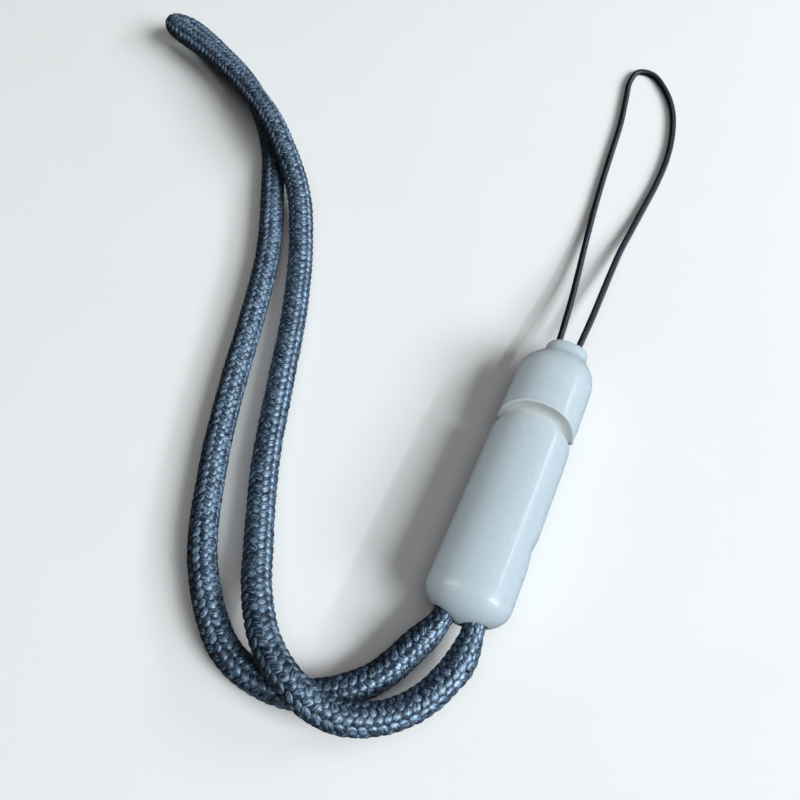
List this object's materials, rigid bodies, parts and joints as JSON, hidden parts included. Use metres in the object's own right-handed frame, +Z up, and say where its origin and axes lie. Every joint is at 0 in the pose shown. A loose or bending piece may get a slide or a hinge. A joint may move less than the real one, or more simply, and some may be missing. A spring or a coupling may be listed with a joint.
{
  "type": "phone wrist strap",
  "caption": "Wrist strap for a phone: a folded round braided cord loop and a thin lanyard-hole loop, joined by a slim oval clasp in two shells.",
  "frame": {"origin": "on the surface that the strap lies on, under the middle of the clasp", "axes": "+Y along the clasp from the wrist cord to the phone loop, +Z up from the surface through the clasp's thin way, +X to the clasp's right seen from above"},
  "size_m": [0.1205, 0.1582, 0.0108],
  "materials": {
    "clasp_shell": "satin, pale cool white",
    "clasp_insert": "satin, pale grey",
    "wrist_braid": "slate blue braided polyester",
    "phone_braid": "near-black navy, fine braid",
    "hidden_plastic": "plain"
  },
  "bodies": {
    "root": {"wrist_cord": "wrist_braid", "clasp_sleeve": "clasp_shell", "clasp_plug": "clasp_insert", "clasp_cap": "clasp_shell", "phone_loop": "phone_braid", "cord_crimp": "hidden_plastic", "loop_knot": "hidden_plastic"}
  },
  "joints": []
}
